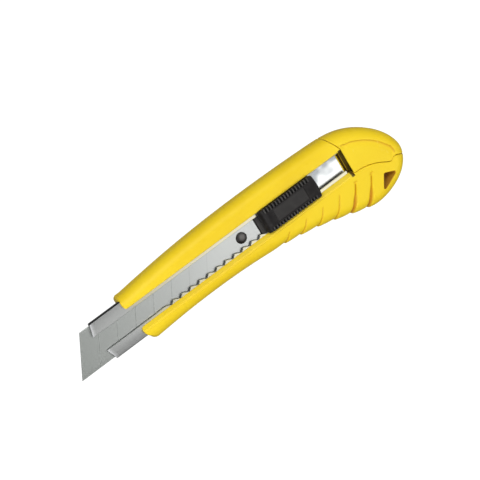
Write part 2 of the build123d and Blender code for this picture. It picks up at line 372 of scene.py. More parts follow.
def use(tree, shared, **values):
    """Places a shared group in a material with its own values."""
    made = tree.nodes.new("ShaderNodeGroup")
    made.node_tree = shared
    for key, value in values.items():
        made.inputs[key.replace("_", " ")].default_value = value
    return made


def material(name):
    """A new material: its tree and its Principled node."""
    made = bpy.data.materials.new(name)
    made.use_nodes = True
    return made, made.node_tree, made.node_tree.nodes["Principled BSDF"]


def mix_colour(tree, factor, first, second, blend="MIX"):
    """Mixes two colours or sockets by a factor socket or number."""
    parts = {0: factor, 6: first, 7: second}
    return node(tree, "ShaderNodeMix", parts, data_type="RGBA", blend_type=blend).outputs[2]


def marked(tree, mark, colour, target, strength=1.0):
    """Turns a colour into the target where the mesh carries the mark."""
    amount = node(tree, "ShaderNodeAttribute", attribute_name=mark).outputs["Fac"]
    if strength != 1.0:
        amount = math(tree, amount, strength)
    return mix_colour(tree, amount, colour, target)


def surface(tree, shader, colour, source, rough_low, rough_high):
    """Gives a shader its colour, and a roughness that follows a source between two values."""
    tree.links.new(colour, shader.inputs["Base Color"])
    tree.links.new(map_range(tree, source, 0.0, 1.0, rough_low, rough_high), shader.inputs["Roughness"])


def bump(tree, shader, height, strength, distance):
    """A bump from a height, linked to the shader's normal."""
    made = node(tree, "ShaderNodeBump", {"Height": height, "Strength": strength, "Distance": distance})
    tree.links.new(made.outputs[0], shader.inputs["Normal"])


def yellow_plastic(name, inside=None):
    """Moulded ABS: a warm yellow with faint flow marks, painted shade in deep orange along the creases, and a
    fine satin grain.
    inside, from 0 to 1, gives a darker orange copy for surfaces inside the moulding: painted shade."""
    made, tree, shader = material(name)
    grain = use(tree, GRAIN, Fine_Scale=2200.0, Broad_Scale=38.0)
    if inside is None:
        stops = [(0.3, (0.83, 0.575, 0.010, 1)), (0.5, (0.88, 0.625, 0.013, 1)),
                 (0.72, (0.91, 0.665, 0.018, 1))]
    else:
        stops = [(0.3, (0.62 * inside, 0.28 * inside, 0.012 * inside, 1)),
                 (0.7, (0.80 * inside, 0.40 * inside, 0.020 * inside, 1))]
    base = ramp(tree, grain.outputs["Tone"], stops).outputs[0]
    # Painted shade: the yellow turns deep orange where the mesh carries the crease mark.
    crease_shaded = marked(tree, "painted_crease_shade", base, (0.58, 0.25, 0.009, 1))
    pale = math(tree, use(tree, WEAR, Low=0.57, High=0.75).outputs[0], 0.25)
    colour = mix_colour(tree, pale, crease_shaded, (0.93, 0.78, 0.16, 1))
    surface(tree, shader, colour, grain.outputs["Tone"], 0.36, 0.46)
    shader.inputs["Specular IOR Level"].default_value = 0.24
    bump(tree, shader, grain.outputs["Height"], 0.10, 0.0001)
    return made


def black_plastic():
    """Black moulded plastic with a coarse matt grain, rubbed edges, a painted sheen where the mesh asks for
    it and painted shade, near black, in the pits.
    """
    made, tree, shader = material("black_plastic_moulded")
    grain = use(tree, GRAIN, Fine_Scale=1500.0, Broad_Scale=160.0)
    base = ramp(tree, grain.outputs["Tone"], [
        (0.3, (0.004, 0.003, 0.003, 1)), (0.55, (0.006, 0.0045, 0.0045, 1)),
        (0.75, (0.013, 0.011, 0.010, 1))])
    rubbed = math(tree, use(tree, WEAR, Low=0.55, High=0.72).outputs[0], 0.45)
    wear_and_sheen = mix_colour(tree, rubbed, base.outputs[0], (0.10, 0.097, 0.092, 1))
    # Painted sheen where the mesh asks for it, then painted shade, near black, in the pits.
    lit = marked(tree, "painted_sheen", wear_and_sheen, (0.13, 0.125, 0.12, 1))
    colour = marked(tree, "hollow", lit, (0.001, 0.001, 0.001, 1))
    surface(tree, shader, colour, grain.outputs["Tone"], 0.34, 0.50)
    shader.inputs["Specular IOR Level"].default_value = 0.2
    bump(tree, shader, grain.outputs["Height"], 0.22, 0.00012)
    return made


def rolled_steel(name, tint, polished, rough_low, rough_high, streak=0.06, marks=False):
    """Rolled stainless sheet: fine streaks along its length and a cloudy tone, brighter towards the tail.
    marks adds a painted warm reflection on the lips, a painted highlight on the front rim, painted dark
    reflections as spots towards the tail and painted shade, near black, each where the mesh asks for it."""
    made, tree, shader = material(name)
    lines = use(tree, STREAKS, Stretch=(25.0, 1700.0, 1700.0))
    place = coords(tree)
    split = node(tree, "ShaderNodeSeparateXYZ", {0: place})
    # The colour grows brighter towards the tail.
    length = map_range(tree, split.outputs[0], -0.010, 0.035, kind="SMOOTHSTEP")
    tail_gradient = ramp(tree, length, [(0.0, (*tint, 1)), (1.0, (*polished, 1))]).outputs[0]
    cloudy = math(tree, lines.outputs["Tone"], 0.30)
    tone = mix_colour(tree, cloudy, tail_gradient, (0.62, 0.63, 0.62, 1), "MULTIPLY")
    fine = math(tree, lines.outputs["Height"], 0.12)
    colour = mix_colour(tree, fine, tone, (*(0.72 * c for c in tint), 1))
    if marks:
        # Painted warm reflection of the yellow on the lips, and a painted highlight on the front rim.
        colour = marked(tree, "warm", colour, (0.60, 0.565, 0.42, 1))
        colour = marked(tree, "painted_rim_highlight", colour, (0.88, 0.89, 0.90, 1))
        # Painted reflection: dark mirror spots towards the tail.
        spots = map_range(tree, noise(tree, place, 120.0, 1.0), 0.53, 0.64)
        painted_reflection_mask = math(tree, spots, math(tree, length, 0.75))
        colour = mix_colour(tree, painted_reflection_mask, colour, (0.20, 0.22, 0.24, 1))
        colour = marked(tree, "shade", colour, (0.018, 0.018, 0.02, 1))
    surface(tree, shader, colour, lines.outputs["Height"], rough_low, rough_high)
    shader.inputs["Metallic"].default_value = 1.0
    bump(tree, shader, lines.outputs["Height"], streak, 0.00003)
    return made


def blade_steel():
    """Ground blade steel: streaks across the blade, darker and cooler towards the tip as painted reflected
    light, dark score lines.
    """
    made, tree, shader = material("blade_steel_ground")
    lines = use(tree, STREAKS, Stretch=(1500.0, 40.0, 1500.0))
    split = node(tree, "ShaderNodeSeparateXYZ", {0: coords(tree)})
    # Painted reflected light: the blade's colour darkens towards the tip.
    length = map_range(tree, split.outputs[0], -0.100, -0.030)
    run = ramp(tree, length, [(0.0, (0.40, 0.42, 0.40, 1)), (1.0, (0.56, 0.575, 0.56, 1))])
    cloudy = math(tree, lines.outputs["Tone"], 0.25)
    cloud = mix_colour(tree, cloudy, run.outputs[0], (0.36, 0.38, 0.37, 1))
    colour = marked(tree, "score", cloud, (0.13, 0.14, 0.135, 1), 0.8)
    surface(tree, shader, colour, lines.outputs["Height"], 0.30, 0.42)
    shader.inputs["Metallic"].default_value = 1.0
    bump(tree, shader, lines.outputs["Height"], 0.05, 0.00004)
    return made


YELLOW = yellow_plastic("yellow_plastic_moulded")
# Darker copies of the yellow: painted shade for the lanyard hole, the bore's end faces and the hollows.
SHADED = yellow_plastic("yellow_plastic_hole_painted_shade", 0.75)
RECESS_SHADE = yellow_plastic("yellow_plastic_recess_painted_shade", 0.30)
DEEP_SHADE = yellow_plastic("yellow_plastic_inside_painted_shade", 0.10)
BLACK = black_plastic()
CHANNEL_STEEL = rolled_steel("channel_steel_rolled", (0.55, 0.56, 0.55), (0.80, 0.82, 0.82), 0.24, 0.34,
                             streak=0.03, marks=True)
SPRING_STEEL = rolled_steel("spring_steel_drawn", (0.50, 0.51, 0.53), (0.55, 0.56, 0.58), 0.25, 0.4)
BLADE_STEEL = blade_steel()

# ---- handle and cap

RIM = [
    (-83.2, -14.5), (-35.2, -12.6), (-4.8, -14.1), (20.2, -18.1), (38.2, -23.3), (49.7, -26.0),
    (60.2, -24.3), (69.4, -18.7), (73.2, -10.5), (71.3, -3.4), (63.2, 6.2), (50.2, 13.0),
    (35.2, 14.8), (0.0, 15.5), (-45.2, 13.9), (-83.2, 10.0),
]
outline = spline(RIM, 3000)
rim_normal = right_of(outline)
LOW_HALF = int(np.argmax(outline[:, 0]))

# Grip grooves: upper end and lower end of each, where it meets the underside.
GROOVES = np.array([
    (6.4, -9.7, 2.5, -14.9), (16.0, -9.8, 10.9, -16.1), (25.5, -9.8, 19.6, -17.9),
    (35.2, -9.8, 28.0, -20.2), (44.4, -10.0, 36.1, -22.7), (52.9, -11.3, 44.1, -25.4),
])
GROOVE_SLOPE = 0.55
WIDE = np.array([0, 0, 0, 0, 1, 1])


def groove_relief(x, y):
    """Depth of the grip relief at plan points, and how much painted shade it gets. Each groove is a parabola
    in y through its two ends. Between grooves the surface falls away towards the next groove as a scale does;
    the last two are also wide valleys."""
    x, y = x[..., None], y[..., None]
    xt, yt, xb, yb = GROOVES.T
    drop = yb - yt
    curve = ((xb - xt) - GROOVE_SLOPE * drop) / drop**2
    line = xt + GROOVE_SLOPE * (y - yt) + curve * (y - yt) ** 2
    slope = GROOVE_SLOPE + 2 * curve * (y - yt)
    away = (x - line) / np.sqrt(1 + slope**2)
    down = np.clip((yt - y) / (yt - yb), 0, 1.2)
    present = ease(down, 0.0, 0.10)
    pitch = 7.6
    step = np.where(away >= 0, np.clip(1 - away / 0.7, 0, 1) ** 2, np.clip(1 + away / pitch, 0, 1) ** 2.2)
    scale = 0.80 * step * np.minimum(down, 1) ** 1.4
    half = 0.36 + WIDE * 0.85 * ease(down, 0.28, 0.6) + 0.10 * down
    profile = np.clip(1 - np.abs(away) / half, 0, 1)
    valley = (0.26 + 0.15 * down + WIDE * 0.55) * ease(profile, 0, 1) * present
    tee = WIDE * ease(1 - np.hypot(away / 1.3, (yt - y + 0.1) / 0.45), 0, 0.5) * 0.35
    depth = np.maximum((scale + valley).max(-1), tee.max(-1))
    shade = (ease(profile, 0.1, 0.9) * present * (0.62 + 0.36 * WIDE + 0.2 * down)).max(-1)
    return depth, np.clip(np.maximum(shade, tee.max(-1) * 1.4), 0, 1)


def carve(block, facing):
    """Sinks the grip relief into a block along its normals. Returns the block and the painted shade at each
    point.
    """
    relief, shade = groove_relief(block[..., 0], block[..., 1])
    return block - facing * relief[..., None], shade


def rim_block(foot, point, normal, lead, flat_front, flat_back):
    """Half a cross-section at each station: from foot across the face, over the rim as a quarter circle of
    radius ROUND, down the side and back under to foot. lead is the direction in plan that the rim's profile
    follows. Returns the points and their surface normals, each (station, point, 3)."""
    lean = lead / np.maximum((lead * normal).sum(1, keepdims=True), 0.2)
    inset = point - lean * ROUND
    over, under = np.linspace(0, pi / 2, 22)[1:], np.linspace(pi / 2, 0, 20)
    turn = np.concatenate([over, under])
    ahead, behind = flat_front[None, :, None], flat_back[None, 1:, None]
    plan = np.concatenate([
        foot[:, None] * (1 - ahead) + inset[:, None] * ahead,
        point[:, None] - lean[:, None] * (ROUND * (1 - np.sin(turn)))[None, :, None],
        inset[:, None] * (1 - behind) + foot[:, None] * behind], 1)
    face, back = np.ones(len(flat_front)), np.ones(len(flat_back) - 1)
    level = np.concatenate([
        face * DEPTH, DEPTH - ROUND + ROUND * np.cos(over), ROUND - ROUND * np.cos(under), back * 0])
    tilt = np.concatenate([face * 0, np.sin(turn), back * 0])
    rise = np.concatenate([face, np.cos(over), -np.cos(under), -back])
    shape = (*plan.shape[:2], 1)
    points = np.concatenate([plan, np.broadcast_to(level[None, :, None], shape)], 2)
    facing = np.concatenate([
        normal[:, None] * tilt[None, :, None], np.broadcast_to(rise[None, :, None], shape)], 2)
    return points, facing


def blend_lead(normal, start_dir, start_run, end_dir=None, end_run=1.0):
    """Unit directions that follow the outline's normal and turn to the given ones at either end."""
    t = np.linspace(0, 1, len(normal))[:, None]
    share = 1 - ease(t, 0, start_run)
    lead = normal * (1 - share) + np.array(start_dir) * share
    if end_dir is not None:
        share = ease(t, 1 - end_run, 1)
        lead = lead * (1 - share) + np.array(end_dir) * share
    return unit(lead)


def soften(block, foot, point, lead, limit, share, spacing=0.0, fall=1.0):
    """Rounds a block's edge along its foot: the first four points go in along the section and down, round a
    quarter circle. Its radius is the limit, or the share of the room before the rim where that is less."""
    inward = unit(point - foot)
    radius = np.minimum(limit, share * np.linalg.norm(point - lead * ROUND - foot, axis=1))
    for k, phi in enumerate((0.0, 0.5, 1.05, pi / 2)):
        block[:, k, :2] = foot + inward * (radius * (1 - cos(phi) + spacing * k))[:, None]
        block[:, k, 2] = DEPTH - radius * (1 - sin(phi)) * fall


def outline_at(x, lower):
    """Outline points and outward normals at the given x, on the underside or along the spine."""
    part = slice(0, LOW_HALF) if lower else slice(LOW_HALF, None)
    path, normal = outline[part], rim_normal[part]
    if not lower:
        path, normal = path[::-1], normal[::-1]
    px = np.maximum.accumulate(path[:, 0])
    return (np.stack([x, np.interp(x, px, path[:, 1])], 1),
            np.stack([np.interp(x, px, normal[:, 0]), np.interp(x, px, normal[:, 1])], 1))


SEAM_POINTS = spline([
    (SLOT_END, -6.2), (51.5, -6.7), (57.0, -8.4), (61.0, -10.5), (63.6, -11.9), (64.6, -12.0), (65.5, -11.2),
    (66.6, -11.0), (70.0, -12.4), (75.0, -14.9)], 900)
seam_down = right_of(SEAM_POINTS)
SEAM_LEAN = 0.49  # how far the seam leans back for each step towards the spine
FOOT = -6.2  # where the belly's sections start
FLAT_FRONT, FLAT_BACK = np.linspace(0, 1, 26), np.linspace(0, 1, 22)


def seam_end(seam):
    """Where a seam line leaves the outline, and where it lies one rim radius in from there."""
    gap = np.linalg.norm(seam[:, None] - outline[None, ::3], axis=2)
    last, third = (int(k) for k in np.unravel_index(np.argmin(gap), gap.shape))
    rim_index = 3 * third
    run = run_length(seam[:last + 1])
    direction = unit(seam[last] - seam[max(0, last - 60)])
    stretch = 1 / max(float(direction @ rim_normal[rim_index]), 0.3)
    inner = outline[rim_index] - direction * stretch * ROUND
    foot = int(np.argmin(np.abs(run - (run[-1] - stretch * ROUND))))
    return rim_index, direction, inner, foot


def front_slant(y):
    """How far the front end stands back: none on the spine's arm, more on the belly's, most at its corner."""
    return 1.6 * np.clip((SLOT_HIGH - y) / (SLOT_HIGH - SLOT_LOW), 0, 1) + 1.9 * ease(-y, 7.0, 13.0)


def front_corner(x, y, radius, side):
    """Plan of what a rounding of the given radius takes off an arm's inner front corner at (x, y). side is 1
    where the arm lies above the corner and -1 where it lies below."""
    turn = np.linspace(0, pi / 2, 9)
    arc = np.stack([x + radius * (1 - np.sin(turn)), y + side * radius * (1 - np.cos(turn))], 1)
    return np.concatenate([arc, [
        (x - 1.5, y + side * radius), (x - 1.5, y - side * 0.4), (x + radius, y - side * 0.4)]])


def spine_arm(x):
    """The spine's arm at each station, from back to front so that a ring keeps one sense: flat, round the
    rim as two quarter circles of radius ROUND, and flat again. Its stations lean over to follow the seam."""
    fade = ease(x, 10.0, SLOT_END)
    top = outline_at(x, False)[0][:, 1]
    for _ in range(4):
        top = outline_at(x - fade * SEAM_LEAN * (top - SLOT_HIGH), False)[0][:, 1]
    fade, top = fade[:, None], top[:, None]
    turn = np.linspace(0, pi / 2, 18)
    flat = np.linspace(0, 1, 3)
    start_y = 4.6
    span = top - ROUND - start_y
    y = np.concatenate([
        span * flat[:-1] + start_y, (top - ROUND * (1 - np.cos(turn)))[:, ::-1],
        (top - ROUND * (1 - np.sin(turn[1:])))[:, ::-1], span * flat[::-1] + start_y], 1)
    z = np.concatenate([
        [0, 0], (ROUND - ROUND * np.sin(turn))[::-1],
        (DEPTH - ROUND + ROUND * np.cos(turn[1:]))[::-1], [DEPTH] * 3])
    lean = fade * SEAM_LEAN * np.maximum(y - SLOT_HIGH, 0)
    return np.stack([x[:, None] - lean, y, np.broadcast_to(z[None], y.shape)], 2)


def lobe_block(start_dir):
    """The tail's lobe: sections fan from the cap's seam to the outline, with a soft edge along the seam."""
    seam = SEAM_POINTS + seam_down * SEAM_GAP * ease(np.arange(len(SEAM_POINTS)), 0, 30)[:, None]
    end_index, end_dir, end_inner, end_foot = seam_end(seam)
    start_index = int(np.argmin(np.abs(outline[:LOW_HALF, 0] - SLOT_END)))
    steps = np.linspace(0, 1, 110)
    point = along(outline[start_index:end_index + 1], steps)
    normal = unit(along(rim_normal[start_index:end_index + 1], steps))
    lead = blend_lead(normal, start_dir, 0.1, end_dir, 0.35)
    foot = along(np.concatenate([seam[:end_foot], end_inner[None]]), 0.985 * steps**0.9)
    block, facing = rim_block(foot, point, normal, lead, FLAT_FRONT, FLAT_BACK)
    block, shade = carve(block, facing)
    soften(block, foot, point, lead, 0.24, 0.11, 0.03, ease(steps, 0.0, 0.02))
    block[-1] -= facing[-1] * 0.22
    return block, shade


def handle_cutters():
    """Closed cutters for the handle: the channel's bore with the slot's mouth above it, the pocket behind
    it, the arms' rounded front corners, the hollow below the channel and the lanyard hole."""
    arc = np.linspace(0, pi / 2, 7)
    rim = 0.9  # radius of the rolled edge on the spine's side; the belly's side slopes up from a crease
    roof, wide, floor = LIP + 0.06, 10.02, 8.18
    mouth = np.concatenate([
        np.stack([WALL_HIGH + rim * (1 - np.cos(arc)), DEPTH - rim + rim * np.sin(arc)], 1),
        [(WALL_HIGH + rim, DEPTH + 2), (-7.6, DEPTH + 2), (-7.45, DEPTH), (-7.2, DEPTH - 0.22),
         (-6.95, DEPTH - 0.42), (-6.7, DEPTH - 0.4), (-6.4, DEPTH - 0.25), (WALL_LOW - 0.07, LIP + 0.22),
         (WALL_LOW, LIP + 0.1)]])
    bore = np.concatenate([[(-wide, floor), (wide, floor), (wide, roof), (WALL_HIGH, roof)], mouth,
                           [(WALL_LOW, roof), (-wide, roof)]])
    rear = np.concatenate([[(WALL_LOW, 7.3), (WALL_HIGH, 7.3)], mouth])
    high_corner = front_corner(FRONT, WALL_HIGH, 2.0, 1)
    low_corner = front_corner(FRONT + front_slant(WALL_LOW), WALL_LOW, 1.6, -1)
    hollow = round_loop(block(-8, 8, 2.2, 6.95), 0.5)
    lanyard = round_loop([(58.3, -14.9), (53.9, -22.2), (64.3, -17.5)], (0.6, 0.6, 0.7))
    # Painted shade: a dark line along the small groove where the belly's slope meets the face.
    painted_crease_shade = 0.55 * np.exp(-((bore[:, 0] + 6.9) / 0.3) ** 2) * (bore[:, 1] > LIP + 1)
    made = [build("cutter_bore", *plate(bore, FRONT - 9, 44.35, 0, "YZ"), YELLOW,
                  layers={"painted_crease_shade": np.tile(painted_crease_shade, 2)})]
    # Painted shade: the pocket and the hollow get the darkest copy of the yellow, the lanyard hole a lighter
    # one.
    for label, shape, finish in (
        ("rear", plate(rear, 44.3, SLOT_END + 0.05, 0, "YZ"), DEEP_SHADE),
        ("high_corner", plate(high_corner, roof - 0.02, DEPTH + 1, 0), YELLOW),
        ("low_corner", plate(low_corner, roof - 0.02, DEPTH + 1, 0), YELLOW),
        ("hollow", plate(hollow, -54.0, 46.5, 0, "YZ"), DEEP_SHADE),
        ("lanyard", plate(lanyard, 0, DEPTH, 0, flare=0.3), SHADED),
    ):
        made.append(build(f"cutter_{label}", *shape, finish))
    # The bore's two end faces get a painted shade; its long walls stay the plain yellow.
    made[0].data.materials.append(RECESS_SHADE)
    for face in (len(bore), len(bore) + 1):
        made[0].data.polygons[face].material_index = 1
    return made


def make_handle():
    """The handle: stations along the knife carry a closed cross-section through both arms as far as the
    slot's end, then one through the tail's lobe alone, fanning round below the cap's seam."""
    dense = np.arange(-6.0, SLOT_END - 0.1, 0.34)
    coarse = np.linspace(FRONT + 3.4, -6.4, 70)
    ends = FRONT + np.array([0.0, 0.1, 0.2, 0.4, 0.6, 0.9, 1.2, 1.6, 2.0])
    x = np.concatenate([ends, coarse, dense[:-1], [SLOT_END - 0.2, SLOT_END - 0.06, SLOT_END]])
    point, normal = outline_at(x, True)
    foot = np.stack([x, np.full(len(x), FOOT)], 1)
    lead = blend_lead(normal, (0.0, -1.0), 0.1)
    belly, shade = carve(*rim_block(foot, point, normal, lead, FLAT_FRONT, FLAT_BACK))
    spine = spine_arm(x)
    rings = np.concatenate([belly, spine], 1)
    shades = np.concatenate([shade, np.zeros(spine.shape[:2])], 1)
    # The step back from the spine's arm to the belly's, and the rounded front edge.
    shift = front_slant(rings[..., 1]) * (1 - ease(x, FRONT, FRONT + 28))[:, None]
    loop = rings[0][:, 1:]
    out = outward(loop)
    if (out * (loop - loop.mean(0))).sum() < 0:
        out = -out
    size = 0.5 + 1.1 * ease(loop[:, 0], 8.6, 11.5) + 2.4 * ease(-loop[:, 0], 8.5, 13.7)
    for k, phi in enumerate(np.linspace(0, pi / 2, len(ends))):
        rings[k, :, 1:] = rings[len(ends)][:, 1:] - out * (size * (1 - sin(phi)))[:, None]
        rings[k, :, 0] = FRONT + size * (1 - cos(phi))
    rings[..., 0] += shift
    # The rear end of the spine's arm, softened along the seam.
    belly_count = belly.shape[1]
    rear_out = outward(rings[-4][:, 1:])[belly_count:]
    for k, inset in ((-2, 0.07), (-1, 0.24)):
        rings[k, belly_count:, 1:] -= rear_out * inset
    # The front end face carries one ring more, half-way in, before it closes.
    middle = np.array([0.0, DEPTH / 2])
    inner_ring = rings[:1].copy()
    inner_ring[..., 1:] = middle + (inner_ring[..., 1:] - middle) * np.array([0.93, 0.5])
    inner_ring[..., 0] = FRONT + front_slant(inner_ring[..., 1])
    rings = np.concatenate([inner_ring, rings])
    stations, count = rings.shape[:2]
    last_ring = (stations - 1) * count
    spine_start, end = last_ring + belly_count, last_ring + count
    faces = ring_faces(stations, count)
    faces.append(list(range(count)))
    # The lobe carries on from the belly's part of the last ring; the spine's part is closed.
    lobe, lobe_shade = lobe_block(normal[-1])
    index = np.concatenate([
        np.arange(last_ring, spine_start)[None],
        end + np.arange((len(lobe) - 1) * belly_count).reshape(-1, belly_count)])
    a, b = index[:-1], index[1:]
    faces += np.stack([a, np.roll(a, -1, 1), np.roll(b, -1, 1), b], -1).reshape(-1, 4).tolist()
    faces.append(index[-1].tolist())
    faces.append([last_ring, spine_start - 1, spine_start, end - 1])
    faces.append(list(range(spine_start, end)))
    verts = np.concatenate([rings.reshape(-1, 3), lobe[1:].reshape(-1, 3)])
    # The grooves' painted shade, carried by the crease mark.
    marks = np.concatenate([np.zeros(count), shades.reshape(-1), lobe_shade[1:].reshape(-1)])
    piece = build("handle_shell", verts, faces, YELLOW, layers={"painted_crease_shade": marks})
    return cut(piece, handle_cutters())


def make_cap():
    """The end cap: stations fan round the tail, each a closed section from the seam over the rim to the
    back, with soft edges along the seam; a hollow is cut behind the slot and a plug stands in the handle."""
    end_index, end_dir, end_inner, end_foot = seam_end(SEAM_POINTS)
    upper = outline[LOW_HALF:]
    lean_line = SLOT_END + SEAM_GAP * 1.3 - SEAM_LEAN * (upper[:, 1] - SLOT_HIGH)
    start_index = LOW_HALF + int(np.argmin(np.abs(upper[:, 0] - lean_line) + 100 * (upper[:, 1] < 8)))
    steps = np.linspace(0, 1, 190)
    point = along(outline[end_index:start_index + 1][::-1], steps)
    normal = unit(along(rim_normal[end_index:start_index + 1][::-1], steps))
    lead = blend_lead(normal, unit(np.array([-SEAM_LEAN, 1.0])), 0.30, end_dir, 0.25)
    down = np.linspace(0, 1, 60)[:, None]
    shoulder = np.array([SLOT_END + SEAM_GAP, SLOT_HIGH]) * (1 - down)
    shoulder += np.array([SLOT_END + SEAM_GAP, FOOT]) * down
    foot = along(np.concatenate([shoulder, SEAM_POINTS[8:end_foot], end_inner[None]]), 0.985 * steps)
    across = np.concatenate([np.zeros(4), 1 - np.linspace(0.98, 0, 26) ** 1.6])
    body, facing = rim_block(foot, point, normal, lead, across, np.linspace(0, 1, 8))
    soften(body, foot, point, lead, 0.22, 0.03)
    body[0] -= facing[0] * 0.24
    body[-1] -= facing[-1] * 0.22
    # The face sinks gently towards the shoulder and steps up to it, which leaves a crease round the tail.
    reach = np.linalg.norm(point - foot, axis=1)[:, None] - ROUND
    left = reach * (1 - across[None])
    dip = 0.45 * (1 - ease(left, 0.5, 4.0)) * ease(left, 0.02, 0.45)
    dip *= ease(steps, 0.02, 0.10)[:, None] * (1 - ease(steps, 0.90, 0.97))[:, None]
    body[:, :len(across), 2] -= dip
    # Painted shade: a dark line along the crease.
    mark = np.zeros(body.shape[:2])
    mark[:, :len(across)] = 0.55 * np.exp(-((left - 0.35) / 0.5) ** 2) * (dip > 0.02)
    piece = build("cap_shell", body.reshape(-1, 3), tube_faces(*body.shape[:2]), YELLOW,
                  layers={"painted_crease_shade": mark.reshape(-1)})
    # The hollow's walls get the darkest painted shade.
    hollow = round_loop(block(-5.7, 6.6, 7.2, 12.35), 0.3)
    cut(piece, [build("cap_cutter", *plate(hollow, SLOT_END - 1, 53.0, 0, "YZ"), DEEP_SHADE)])
    section = round_loop(block(-5.6, 5.6, 2.4, 6.75), 0.6)
    plug = build("cap_plug", *plate(section, SLOT_END - 12, SLOT_END + 2, 0.5, "YZ"), YELLOW)
    return piece, plug


def channel_section(edge_high, edge_low):
    """Closed (Y, Z) section of the folded sheet for given lip edges: round the outside of the C from the
    upper lip to the lower one, then back along its inside."""
    half, low, high = channel_high[1], channel_low[2], LIP
    sheet, fold, bevel = 0.65, 0.75, 0.1
    turn = np.linspace(0, pi / 2, 5)
    rise, run = fold * np.sin(turn), fold * np.cos(turn)
    right, left, top, bottom = half - fold, fold - half, high - fold, low + fold
    inside, under = half - sheet, high - sheet
    return np.concatenate([
        [(edge_high + bevel, high), (right, high)],
        np.stack([right + rise, top + run], 1)[1:], np.stack([right + run, bottom - rise], 1),
        np.stack([left - rise, bottom - run], 1), np.stack([left - run, top + rise], 1),
        [(edge_low - 0.52, high), (edge_low - 0.32, high), (edge_low - bevel, high), (edge_low, high - bevel),
         (edge_low, under + bevel), (edge_low - bevel, under), (-inside, under), (-inside, low + sheet),
         (inside, low + sheet), (inside, under), (edge_high + bevel, under), (edge_high, under + bevel),
         (edge_high, high - bevel)]])


def make_channel():
    """The folded steel channel: its sheet section is carried along X. Each station sets the two lips'
    edges, so the lower one follows the saw teeth, and the front slants from lip to fold."""
    x0, x1 = channel_low[0], 43.9
    half = channel_high[1]
    first, pitch, teeth, rise = -55.3, 4.8, 17, 1.9  # first valley, spacing, number, length of a steep flank
    entry, last = first - 3.3, first + pitch * (teeth - 1) + rise
    crest, valley = -3.7, -4.95
    tooth = np.array([0.0, 0.12, 0.4, 0.8, 1.2, 1.6, 1.75, 1.9, 2.05, 2.5, 3.2, 3.9, 4.4, 4.65])
    xs = np.unique(np.round(np.concatenate([
        x0 + np.array([0, 0.15, 0.5, 1, 2, 3, 4, 6, 8]), np.linspace(x0 + 10, first - 4, 20),
        (first + pitch * np.arange(teeth)[:, None] + tooth[None]).ravel(),
        entry + np.array([0, 0.7, 1.4, 2.1, 2.7, 3.1]), np.linspace(27.5, x1, 24)]), 4))
    phase = (xs - first) % pitch
    ramp_down = np.clip((phase - rise) / (pitch - rise), 0, 1)
    saw = np.where(phase < rise, ease(phase, 0.0, rise), 1 - ramp_down**1.35)
    lower = valley + (crest - valley) * saw
    lower = np.where(xs < first, np.where(
        xs < entry, -4.2 + 0.2 * ease(xs, first - 9, entry),
        -4.0 + (valley + 4.0) * np.clip((xs - entry) / 3.3, 0, 1) ** 1.6), lower)
    lower = np.where(xs > last, crest, lower)
    upper = 4.1 + 1.1 * ease(xs, 27, 31) * (xs > 29)
    base = channel_section(0.0, 0.0)
    at_high = channel_section(1.0, 0.0) - base
    at_low = channel_section(0.0, 1.0) - base
    y, z = np.moveaxis(base + at_high * upper[:, None, None] + at_low * lower[:, None, None], 2, 0)
    # Front ends: x starts at the upper lip's edge, later at the folds and on the lower lip.
    lip_high = 1.76 * np.clip((y - 4.1) / 5.75, 0, 1)
    slope = 1.8 * np.clip((4.1 - y) / 8.3, 0, 1) + 1.76 * np.clip((-4.2 - y) / 5.65, 0, 1)
    shift = (lip_high + slope) * (1 - ease(xs, x0, x0 + 22))[:, None]
    # The rear end bows a little.
    bow = -0.5 * ease(xs, x1 - 6, x1)[:, None] * (y / half) ** 2
    x = xs[:, None] + shift + bow
    # Painted reflection: the upper fold's outer wall and its rounded corner are painted near black.
    shade = ease(y, half - 0.72, half - 0.35) * 0.96
    # The teeth's steep flanks get a painted shadow; the rest of both lips gets a painted warm reflection of
    # the plastic.
    steep = ease(phase, 0.0, 0.3) * (1 - ease(phase, rise - 0.3, rise))
    steep *= (xs > first) & (xs < last)
    low_edge = np.flatnonzero((at_low[:, 0] == 1) & (base[:, 0] > -0.5))
    shade[:, low_edge] = np.maximum(shade[:, low_edge], 0.88 * steep[:, None])
    on_lip = (z > LIP - 0.75) & (np.abs(y) < half - 0.6)
    warm = on_lip * ease(x, -73.5, -66.0)
    warm[:, low_edge] *= 1 - steep[:, None]
    # The sheared front end: painted shade on the end face behind a painted highlight along the rim.
    painted_rim_highlight = np.zeros(shade.shape)
    painted_rim_highlight[1:4] = np.array([1.0, 1.0, 0.4])[:, None]
    shade[0] = 0.9
    return build("channel_sheet", np.stack([x, y, z], 2).reshape(-1, 3), tube_faces(*x.shape), CHANNEL_STEEL,
                 sharp=28.0, layers={"shade": shade.ravel(), "warm": warm.ravel(), "painted_rim_highlight": painted_rim_highlight.ravel()})


